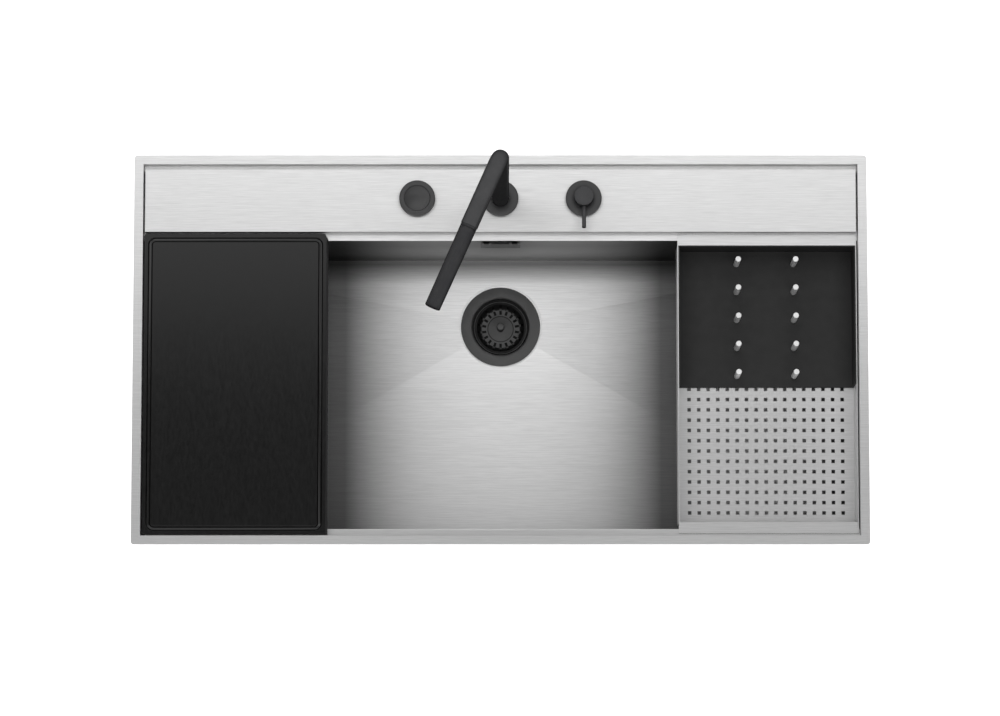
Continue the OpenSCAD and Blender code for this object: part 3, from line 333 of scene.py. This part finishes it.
# Settings of the math nodes
PLUS = {"operation": "ADD"}
MINUS = {"operation": "SUBTRACT"}
TIMES = {"operation": "MULTIPLY"}
TIMES_PLUS = {"operation": "MULTIPLY_ADD"}
TO_THE_POWER = {"operation": "POWER"}
E_TO_THE = {"operation": "EXPONENT"}
WITHOUT_SIGN = {"operation": "ABSOLUTE"}
LARGER = {"operation": "MAXIMUM"}
IS_ABOVE = {"operation": "GREATER_THAN"}
DISTANCE = {"operation": "DISTANCE"}
DOT = {"operation": "DOT_PRODUCT"}


def tinted(tree, base, factor):
    """The base colour darkened by a factor from 0 to 1."""
    mixed = add(tree, "Mix", {"data_type": "RGBA", "blend_type": "MULTIPLY"}, 1.0)
    first_colour, second_colour, mixed_colour = mixed.inputs[6], mixed.inputs[7], mixed.outputs[2]
    tree.links.new(base, first_colour)
    tree.links.new(factor, second_colour)
    return mixed_colour


# How far into the sheet metal's corners the painted shade reaches, in mm, and how deep it is
CREVICE_REACH = 60
CREVICE_DEPTH = 0.08

# The bowl's painted shade: how far it reaches from the board and the tray in mm, how fast it opens,
# the darkest it gets, and the painted shade on the tub's outside
SHADE_REACH = 100
OPEN_GAIN = 1.4
DEEPEST_SHADE = 0.22
OUTSIDE_SHADE = 0.4

# Where the bowl's painted shade changes, from and to in mm: the floor's front part and its back
# fold along y, and the painted light that stands for the floor's glow on the walls along z
FRONT_FLOOR = (-193, 65)
BACK_FOLD = (112, 139)
WALL_FOOT = (-190, -60)


def crevice_shade(tree):
    """Painted shade: the sheet metal's colour darkened in folds, channels and holes, where little of
    the room reaches it.
    """
    open_space = add(tree, "AmbientOcclusion", {"samples": 8}, Distance=CREVICE_REACH * MM)
    openness = open_space.outputs["AO"]
    return add(tree, "Math", TO_THE_POWER, openness, CREVICE_DEPTH).outputs[0]


def clear_of(tree, across, node):
    """How open the bowl's painted shade is by a piece over it: 0 below its edge, to 1 on both sides.

    The far side is what the piece bares when it slides, and is in its real shadow until then.
    """
    low, high = span(node)
    middle = (low.x + high.x) / 2
    shade_edge = (high.x - low.x) / 2 - 2
    from_middle = add(tree, "Math", WITHOUT_SIGN, add(tree, "Math", MINUS, across, middle * MM))
    past_edge = add(tree, "Math", MINUS, from_middle, shade_edge * MM)
    from_edge = add(tree, "Math", WITHOUT_SIGN, past_edge)
    fall = add(tree, "Math", TIMES, from_edge, -1 / (SHADE_REACH * MM))
    return add(tree, "Math", MINUS, 1.0, add(tree, "Math", E_TO_THE, fall))


def bowl_shade(tree):
    """Painted shade: the bowl's colour darkens towards the board and the tray, which close off the
    room on either side, and is painted lighter in the open middle.

    Its floor is painted darker towards the back fold and a little towards the front, and the outside
    of the tub is painted one darker tone.
    """
    place = parts_of_place(tree)
    beside_board = clear_of(tree, place["X"], "cutting_board")
    beside_tray = clear_of(tree, place["X"], "perforated_tray")
    both = add(tree, "Math", TIMES, beside_board, beside_tray)
    opened = add(tree, "Math", TIMES, both, OPEN_GAIN)
    sideways = add(tree, "Math", LARGER, opened, DEEPEST_SHADE)
    front_fade = over(tree, place["Y"], FRONT_FLOOR, 0.88, 1.08)
    back_fade = over(tree, place["Y"], BACK_FOLD, 1.0, 0.2)
    lengthways = add(tree, "Math", TIMES, front_fade, back_fade)
    shade = add(tree, "Math", TIMES, sideways, lengthways)
    point = add(tree, "TexCoord").outputs["Object"]
    normal = add(tree, "NewGeometry").outputs["Normal"]
    to_middle = add(tree, "VectorMath", MINUS, BOWL_MIDDLE, point)
    facing = add(tree, "VectorMath", DOT, to_middle, normal).outputs["Value"]
    inside = add(tree, "Math", IS_ABOVE, facing, 0.0)
    off_outside = add(tree, "Math", MINUS, shade, OUTSIDE_SHADE)
    return add(tree, "Math", TIMES_PLUS, off_outside, inside, OUTSIDE_SHADE).outputs[0]


def wall_shade(tree):
    """The bowl's inner walls: the same painted shade, with painted light lifting it near the floor.
    """
    lift = over(tree, parts_of_place(tree)["Z"], WALL_FOOT, 3.8, 1.0)
    return add(tree, "Math", TIMES, bowl_shade(tree), lift).outputs[0]


# The photograph shows streaks of 1 to 2 mm by 30 to 80 mm, far coarser than real brushing
STREAK = (60, 1.3, 1.3)
FINE_STREAK = (22, 0.5, 0.5)

def brushed_steel(name, dark, light, roughness, shade, edge=1.0):
    """Stainless 304 sheet, brushed left to right: pale grey, its soft shine drawn along the grain,
    its colour darkened by the given painted shade.

    A lower edge tints the shine darker where a wall is seen almost along its face: painted shade on
    its reflection.
    """
    material, tree, steel = blank(
        name, Metallic=1.0, Anisotropic=0.75, Specular_Tint=(edge, edge, edge, 1),
    )
    coarse = noise(tree, STREAK, detail=4.0)
    fine = noise(tree, FINE_STREAK, detail=2.0)
    grain = add(tree, "Math", TIMES, add(tree, "Math", PLUS, coarse, fine), 0.5)
    # The grain's tones, darkened by the painted shade
    tone = tinted(tree, shades(tree, grain, dark, light, 0.38, 0.62), shade(tree))
    skin(tree, steel, tone, between(tree, grain, roughness + 0.03, roughness - 0.03))
    left_to_right = add(tree, "CombineXYZ", X=1.0).outputs["Vector"]
    wire(tree, left_to_right, steel, "Tangent")
    relief(tree, grain, steel, 0.02, 0.25)
    return material


def satin_steel():
    """Rolled stainless strip and zinc-plated screws: plain grey metal with faint clouds."""
    material, tree, steel = blank("rolled_steel_strip", Metallic=1.0)
    clouds = clouds_of(tree, 9, detail=5.0)
    tone = shades(tree, clouds, "#9b9da0", "#b4b6b8")
    skin(tree, steel, tone, between(tree, clouds, 0.36, 0.5))
    return material


def turned_steel():
    """Turned stainless pegs: soft bright metal with fine rings from the lathe."""
    material, tree, steel = blank("turned_stainless_pegs", Metallic=0.6)
    rings = noise(tree, (40, 40, 0.6), detail=2.0)
    tone = shades(tree, rings, "#cfcfcf", "#e6e6e6")
    skin(tree, steel, tone, between(tree, rings, 0.52, 0.62))
    return material


# A coating's tone changes softly over patches of this size, in mm
COAT_CLOUD = 14


def matt_black(name, dark, light, low, high, grit, shine=0.5):
    """Black coating sprayed or plated on brass: near black, matt, with a very fine grit."""
    material, tree, coat = blank(name, Specular_IOR_Level=shine, IOR=1.5)
    clouds = clouds_of(tree, COAT_CLOUD, detail=4.0)
    skin(tree, coat, shades(tree, clouds, dark, light), between(tree, clouds, low, high))
    relief(tree, clouds_of(tree, grit, detail=1.0), coat, 0.03, 0.2)
    return material


def tube_coat(name, dark, light):
    """The same coating on a tube or knob: dull grey on top, with painted shade making it deeper
    black down its steep sides.
    """
    material, tree, coat = blank(name, IOR=1.5, Specular_IOR_Level=0.0)
    clouds = clouds_of(tree, COAT_CLOUD, detail=4.0)
    # Painted shade: the steeper the side, the darker
    steep_side_shade = between(tree, faces_up(tree), 0.35, 1.0, 0.15, 0.8)
    tone = tinted(tree, shades(tree, clouds, dark, light), steep_side_shade)
    skin(tree, coat, tone, between(tree, clouds, 0.45, 0.55))
    relief(tree, clouds_of(tree, 0.5, detail=1.0), coat, 0.03, 0.2)
    return material


# Heights over which painted shade darkens the drain's cup below the floor, in mm
CUP_MOUTH = (-206, -200)


def drain_coat():
    """The same coating on the basket waste: flat dark grey on top, painted shade black down in the
    cup.
    """
    material, tree, coat = blank("matt_black_pvd_drain", IOR=1.5, Specular_IOR_Level=0.3)
    clouds = clouds_of(tree, COAT_CLOUD, detail=4.0)
    # Painted shade down in the cup
    cup_shade = over(tree, parts_of_place(tree)["Z"], CUP_MOUTH, 0.05, 1.0)
    tone = tinted(tree, shades(tree, clouds, "#515151", "#555555"), cup_shade)
    skin(tree, coat, tone, between(tree, clouds, 0.6, 0.7))
    return material


# Radii in the basket in mm: its raised disc, where its floor turns up, and its outer edge, and
# how far from the disc's foot the painted shade line fades
DISC_RADIUS = 17.3
BASKET_WALL = (26.5, 28)
BASKET_EDGE = (34.6, 35.2)
DISC_FOOT_SHADE = (0.3, 0.9)


def basket_coat():
    """The same coating on the strainer basket: grey on its flat floor, painted shade dark on its
    steep wall.

    The wall's painted shade runs out to the rim, whose very edge is grey again, and a painted shade
    line runs round the foot of the raised disc.
    """
    material, tree, coat = blank("matt_black_pvd_basket", IOR=1.5, Specular_IOR_Level=0.3)
    clouds = clouds_of(tree, COAT_CLOUD, detail=4.0)
    # Painted shade: darker on the steep wall, in a band by radius, and in a line at the disc's foot
    steep_side_shade = between(tree, faces_up(tree), 0.15, 1.0, 0.6, 0.9)
    point = add(tree, "TexCoord").outputs["Object"]
    flat = add(tree, "Mapping", Vector=point, Scale=(1, 1, 0))
    middle = (0, DRAIN_Y * MM, 0)
    radius = add(tree, "VectorMath", DISTANCE, flat, middle).outputs["Value"]
    floor = over(tree, radius, BASKET_WALL, 1.0, 0.12)
    rim_edge = over(tree, radius, BASKET_EDGE, 0.0, 0.9)
    off_line = add(tree, "Math", WITHOUT_SIGN, add(tree, "Math", MINUS, radius, DISC_RADIUS * MM))
    disc_foot_shade = over(tree, off_line, DISC_FOOT_SHADE, 0.25, 1.0)
    rings = add(tree, "Math", TIMES, add(tree, "Math", LARGER, floor, rim_edge), disc_foot_shade)
    shade = add(tree, "Math", TIMES, steep_side_shade, rings).outputs[0]
    tone = tinted(tree, shades(tree, clouds, "#525252", "#585858"), shade)
    skin(tree, coat, tone, between(tree, clouds, 0.6, 0.7))
    return material


def plate_coat():
    """The overflow's plate: grey plated steel, close in tone to the wall behind it."""
    material, tree, coat = blank("grey_plated_steel", IOR=1.5, Specular_IOR_Level=0.3)
    clouds = clouds_of(tree, COAT_CLOUD, detail=4.0)
    tone = shades(tree, clouds, "#4c4c4c", "#525252")
    skin(tree, coat, tone, between(tree, clouds, 0.5, 0.6))
    return material


# Length, width and height of one fleck in the board's fibre, in mm
FLECK = (2.5, 9, 2.5)


def groove_foot_shade():
    """Painted shade along the foot of the groove's walls in the board: black and without shine."""
    material, tree, fibre = blank("painted_shade_groove", IOR=1.5, Specular_IOR_Level=0.02)
    fleck = noise(tree, FLECK, detail=3.0)
    tone = shades(tree, fleck, "#060606", "#0a0a0a")
    skin(tree, fibre, tone, between(tree, fleck, 0.8, 0.9))
    return material


def pressed_board():
    """Black composite board: dull, with a fine fibre fleck and a slightly shiny pressed skin."""
    material, tree, board = blank("pressed_fibre_board", IOR=1.5, Specular_IOR_Level=0.32)
    fleck = noise(tree, FLECK, detail=3.0)
    tone = shades(tree, fleck, "#0b0b0b", "#101010")
    skin(tree, board, tone, between(tree, fleck, 0.18, 0.22))
    relief(tree, clouds_of(tree, 0.8, detail=1.0), board, 0.03, 0.15)
    return material


def rubber():
    """EPDM rubber seals: soft black with no shine."""
    material, tree, seal = blank("epdm_rubber", IOR=1.5)
    clouds = clouds_of(tree, 6, detail=3.0)
    tone = shades(tree, clouds, "#141414", "#1e1e1e")
    skin(tree, seal, tone, between(tree, clouds, 0.68, 0.82))
    return material


def bitumen():
    """Bitumen sound pads: dark grey sheet with a coarse grained face."""
    material, tree, pad = blank("bitumen_sheet", IOR=1.55)
    grain = noise(tree, (3, 3, 3), detail=6.0, roughness=0.7)
    tone = shades(tree, grain, "#343638", "#484a4d")
    skin(tree, pad, tone, between(tree, grain, 0.7, 0.9))
    relief(tree, grain, pad, 0.4, 0.6)
    return material


def moulded(name, dark, light, low, high):
    """Moulded plastic: even colour, a light satin from the mould's face."""
    material, tree, plastic = blank(name, IOR=1.49)
    clouds = clouds_of(tree, 18, detail=3.0)
    skin(tree, plastic, shades(tree, clouds, dark, light), between(tree, clouds, low, high))
    relief(tree, clouds_of(tree, 0.7, detail=1.0), plastic, 0.03, 0.2)
    return material


def machined_brass():
    """Machined CW617 brass: warm yellow with fine turning marks."""
    material, tree, brass = blank("machined_brass", Metallic=1.0)
    marks = noise(tree, (25, 25, 0.5), detail=2.0)
    tone = shades(tree, marks, "#b8944e", "#cfae68")
    skin(tree, brass, tone, between(tree, marks, 0.24, 0.38))
    return material


# One sheet steel in five places: the flat sheets; the tub's floor and outside, painted lighter and
# with painted shade; its inner walls, with painted shade and light; the deck's folded front, painted
# darker as shade; and the back ledge, with painted light
SHEET = brushed_steel("brushed_stainless_304", "#cecece", "#dcdcdc", 0.41, crevice_shade)
TUB = brushed_steel("brushed_stainless_304_tub", "#d6d6d6", "#e4e4e4", 0.43, bowl_shade)
TUB_WALL = brushed_steel(
    "brushed_stainless_304_tub_wall", "#d6d6d6", "#e4e4e4", 0.43, wall_shade, edge=0.5
)
FOLD_SHADE = brushed_steel(
    "brushed_stainless_304_fold_painted_shade", "#bababa", "#c6c6c6", 0.45, crevice_shade, edge=0.5
)
LEDGE_LIGHT = brushed_steel("brushed_stainless_304_ledge_painted_light", "#dedede", "#ececec", 0.41, crevice_shade)
STRIP = satin_steel()
PEG = turned_steel()
COAT = matt_black("matt_black_pvd_on_brass", "#262627", "#2c2c2d", 0.42, 0.5, grit=0.5)
DRAIN = drain_coat()
BASKET = basket_coat()
TUBE = tube_coat("matt_black_pvd_tap", "#474748", "#4d4d4e")
SPRAY = tube_coat("matt_black_pvd_spray", "#38383a", "#3e3e3f")
PLATE = plate_coat()
INSERT = matt_black(
    "matt_black_powder_coat", "#161616", "#1a1a1a", 0.6, 0.7, grit=0.7, shine=0.38
)
BOARD = pressed_board()
GROOVE_SHADE = groove_foot_shade()
SEAL = rubber()
PAD = bitumen()
WHITE = moulded("white_polypropylene", "#d4d4cf", "#dededa", 0.38, 0.5)
HOSE = moulded("grey_polyethylene", "#a9aaa8", "#b9bab8", 0.45, 0.58)
BLACK = moulded("black_acetal", "#161617", "#202021", 0.4, 0.5)
BRASS = machined_brass()

FINISHES = {
    SHEET: ["rim_frame", "tap_deck", "perforated_tray"],
    TUB: ["sink_bowl"],
    STRIP: [
        "clip_rails", "mounting_clips", "clip_screws", "hose_clips", "drain_screw",
        "lift_pin", "rocker_pivot", "shank_washers", "tap_circlip", "rotor_pin", "mixer_stem",
        "head_screw", "waste_spring", "peg_screws", "spray_hose",
    ],
    PEG: ["pegs"],
    COAT: [
        "tap_base", "mixer_base", "waste_base", "waste_button", "cartridge_nut",
        "overflow_screws",
    ],
    TUBE: ["spout_tube", "mixer_head", "mixer_lever"],
    SPRAY: ["hand_spray", "docking_ring"],
    PLATE: ["overflow_cover"],
    DRAIN: ["drain_flange"],
    BASKET: ["strainer_basket", "basket_knob"],
    INSERT: ["peg_insert"],
    BOARD: ["cutting_board"],
    SEAL: [
        "rim_gasket", "overflow_gasket", "drain_seals", "basket_seal", "base_seals",
        "shank_seals", "cable_glands",
    ],
    PAD: ["sound_pads"],
    WHITE: [
        "overflow_housing", "overflow_elbow", "drain_body", "drain_outlet", "drain_bridge",
        "swivel_bush", "cartridge", "cartridge_rotor", "waste_housing",
    ],
    HOSE: ["overflow_hose"],
    BLACK: ["lift_rocker", "spray_outlet"],
    BRASS: ["tap_shank", "mixer_body", "shank_nuts"],
}


def finish_nodes():
    """Every CAD node gets the material of its real stuff, the sheet steel with painted shade."""
    for finish, names in FINISHES.items():
        for name in names:
            mesh = frame["nodes"][name].data
            mesh.materials.clear()
            mesh.materials.append(finish)


def paint_faces(mesh, finish, chosen):
    """Gives the chosen faces of a mesh a second material, one with painted light or shade."""
    mesh.materials.append(finish)
    for face in mesh.polygons:
        if chosen(face):
            face.material_index = len(mesh.materials) - 1


def body_of(node):
    return frame["nodes"][node]["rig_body"]


SLOTS = {entry["node"]: entry["material_slot"] for entry in frame["record"]["subparts"]}


def finish_of(node):
    return next(finish for finish, names in FINISHES.items() if node in names)


def refine(node, **settings):
    """The refined copy of a CAD node, in the node's place."""
    piece = refined(node, **settings)
    return dress(piece, body_of(node), SLOTS[node], finish_of(node), node)


# ---------------------------------------------------------------- sheet metal


def sheet_metal():
    """Folded and laser-cut sheet with the small edge radius that deburring leaves."""
    rim = refine("rim_frame", softened=0.5)
    ledge_drop = 5
    below_rim = (span("rim_frame")[1].z - ledge_drop) * MM

    def on_back_ledge(face):
        return face.normal.z > 0.5 and face.center.z < below_rim and face.center.y > 0

    def inner_wall(face):
        return abs(face.normal.z) < 0.5 and face.normal.dot(BOWL_MIDDLE - face.center) > 0

    # Painted light on the back ledge, painted shade on the deck's front, painted shade and light on
    # the bowl's inner walls
    paint_faces(rim.data, LEDGE_LIGHT, on_back_ledge)
    deck = refine("tap_deck", softened=0.6)
    paint_faces(deck.data, FOLD_SHADE, lambda face: face.normal.y < -0.5)
    paint_faces(frame["nodes"]["sink_bowl"].data, TUB_WALL, inner_wall)
    refine("peg_insert", softened=0.4)
    refine("overflow_cover", softened=0.2)


def groove_shade_lines(board, width):
    """Parts off a strip along the foot of each wall of the board's groove for its painted shade,
    width in mm.
    """
    least_depth = 1
    below_top = (span("cutting_board")[1].z - least_depth) * MM
    edit(board)
    bpy.ops.mesh.select_mode(type="FACE")
    bpy.ops.mesh.select_all(action="DESELECT")
    done()
    for face in board.data.polygons:
        face.select = face.normal.z > 0.999 and face.center.z < below_top
    bpy.ops.object.mode_set(mode="EDIT")
    bpy.ops.mesh.inset(thickness=width * MM, use_select_inset=True)
    done()
    # The strips get the painted shade
    paint_faces(board.data, GROOVE_SHADE, lambda face: face.select)
    bpy.context.tool_settings.mesh_select_mode = (True, False, False)


def whole_parts():
    """Pieces that keep their CAD shape, made one smooth skin."""
    for node in (
        "drain_flange", "strainer_basket", "basket_knob", "spout_tube", "hand_spray",
        "mixer_head", "mixer_lever", "waste_button", "docking_ring", "pegs", "drain_body",
        "overflow_elbow", "overflow_hose", "overflow_housing", "tap_shank", "mixer_body",
        "waste_housing", "cable_glands", "spray_outlet", "drain_screw", "hose_clips",
        "drain_outlet", "drain_bridge", "drain_seals",
    ):
        refine(node)
    groove_shade_lines(refine("cutting_board", softened=0.3), width=1.3)


def base_plate(node, bore, edge=1.0):
    """A round base on the deck: flat ring with a softly rounded upper edge."""
    low, high = span(node)
    radius = (high.x - low.x) / 2
    piece = turned(
        node + "_turned",
        [
            (bore, low.z),
            (radius, low.z),
            (radius, high.z - edge),
            (radius - 0.3 * edge, high.z - 0.3 * edge),
            (radius - edge, high.z),
            (bore, high.z),
            (bore, low.z),
        ],
        ((low.x + high.x) / 2 * MM, (low.y + high.y) / 2 * MM),
    )
    smooth(soften(piece, 0.15), 25)
    return dress(piece, body_of(node), SLOTS[node], finish_of(node), node)


# Radius of the holes in the bases of the tap and the mixer, in mm
TAP_BORE = 11.3
MIXER_BORE = 12.3


def round_bases():
    """The three bases, each with a hole for what stands in it."""
    button_low, button_high = span("waste_button")
    button_gap = 0.3
    base_plate("waste_base", (button_high.x - button_low.x) / 2 + button_gap)
    base_plate("tap_base", TAP_BORE)
    base_plate("mixer_base", MIXER_BORE)


# ---------------------------------------------------------------- floor, light and camera


# How bright the paper looks by itself, where 1 is white
PAPER_GLOW = 0.8


def stage():
    """A pale floor under the outlet, white to the camera, which keeps the object's shadow."""
    material = bpy.data.materials.new("white_paper_floor")
    material.use_nodes = True
    tree = material.node_tree
    tree.nodes.clear()
    paper = add(tree, "BsdfDiffuse", Color=colour("#e8e8e8"))
    rays = add(tree, "LightPath").outputs
    seen = add(tree, "Math", LARGER, rays["Is Camera Ray"], rays["Is Glossy Ray"])
    seen_through = add(tree, "Math", LARGER, seen, rays["Is Transmission Ray"])
    strength = add(tree, "Math", TIMES, seen_through, PAPER_GLOW)
    glow = add(tree, "Emission", Color=(1, 1, 1, 1), Strength=strength)
    add(tree, "OutputMaterial", Surface=add(tree, "AddShader", None, paper, glow))
    floor = primitive(
        "circle", "paper_floor", vertices=64, radius=30, fill_type="NGON",
        location=(0, 0, cad_box[0][2] - 0.4 * MM),
    )
    settle(floor)
    floor.data.materials.append(material)


def softbox(name, place, size, level):
    """A soft rectangular lamp of the given brightness, facing straight down."""
    lamp = bpy.data.lights.new(name, "AREA")
    lamp.shape = "RECTANGLE"
    lamp.size, lamp.size_y = size
    lamp.energy = level * math.pi * size[0] * size[1]
    light = bpy.data.objects.new(name, lamp)
    light.location = place
    light.rotation_euler = Vector((0, 0, -1)).to_track_quat("-Z", "Y").to_euler()
    bpy.context.scene.collection.objects.link(light)


def light():
    """Two large soft lamps behind and in front of the sink, under a sky that is dim overhead."""
    softbox("back_softbox", (0, 1.95, 3.0), (4.0, 3.0), 1.62)
    softbox("front_softbox", (0, -3.6, 8.0), (9.0, 6.0), 2.34)
    world = bpy.data.worlds.new("studio")
    world.use_nodes = True
    tree = world.node_tree
    sky = tree.nodes["Background"]
    sky.inputs["Color"].default_value = (1, 1, 1, 1)
    direction = add(tree, "TexCoord").outputs["Generated"]
    height = add(tree, "SeparateXYZ", Vector=direction).outputs["Z"]
    wire(tree, between(tree, height, 0.8, 0.12, 0.25, 0.75), sky, "Strength")
    bpy.context.scene.world = world
    bpy.context.scene.view_settings.view_transform = "Standard"


# The photograph was taken from 5.5 m above the rim, over a point 0.68 m in front of the middle
EYE = Vector((0.0033, -0.6815, 5.5025))
AIM = Vector((-0.0006, -0.0121, 0.0025))
LENS = 152.9


def camera():
    data = bpy.data.cameras.new("camera")
    data.lens = LENS
    data.clip_end = 100
    view = bpy.data.objects.new("camera", data)
    view.location = EYE
    backwards = (EYE - AIM).normalized()
    rightwards = Vector((0, 1, 0)).cross(backwards).normalized()
    upwards = backwards.cross(rightwards)
    view.rotation_euler = Matrix((rightwards, upwards, backwards)).transposed().to_euler()
    bpy.context.scene.collection.objects.link(view)
    bpy.context.scene.camera = view


camera()
stage()
light()
finish_nodes()
sheet_metal()
whole_parts()
round_bases()
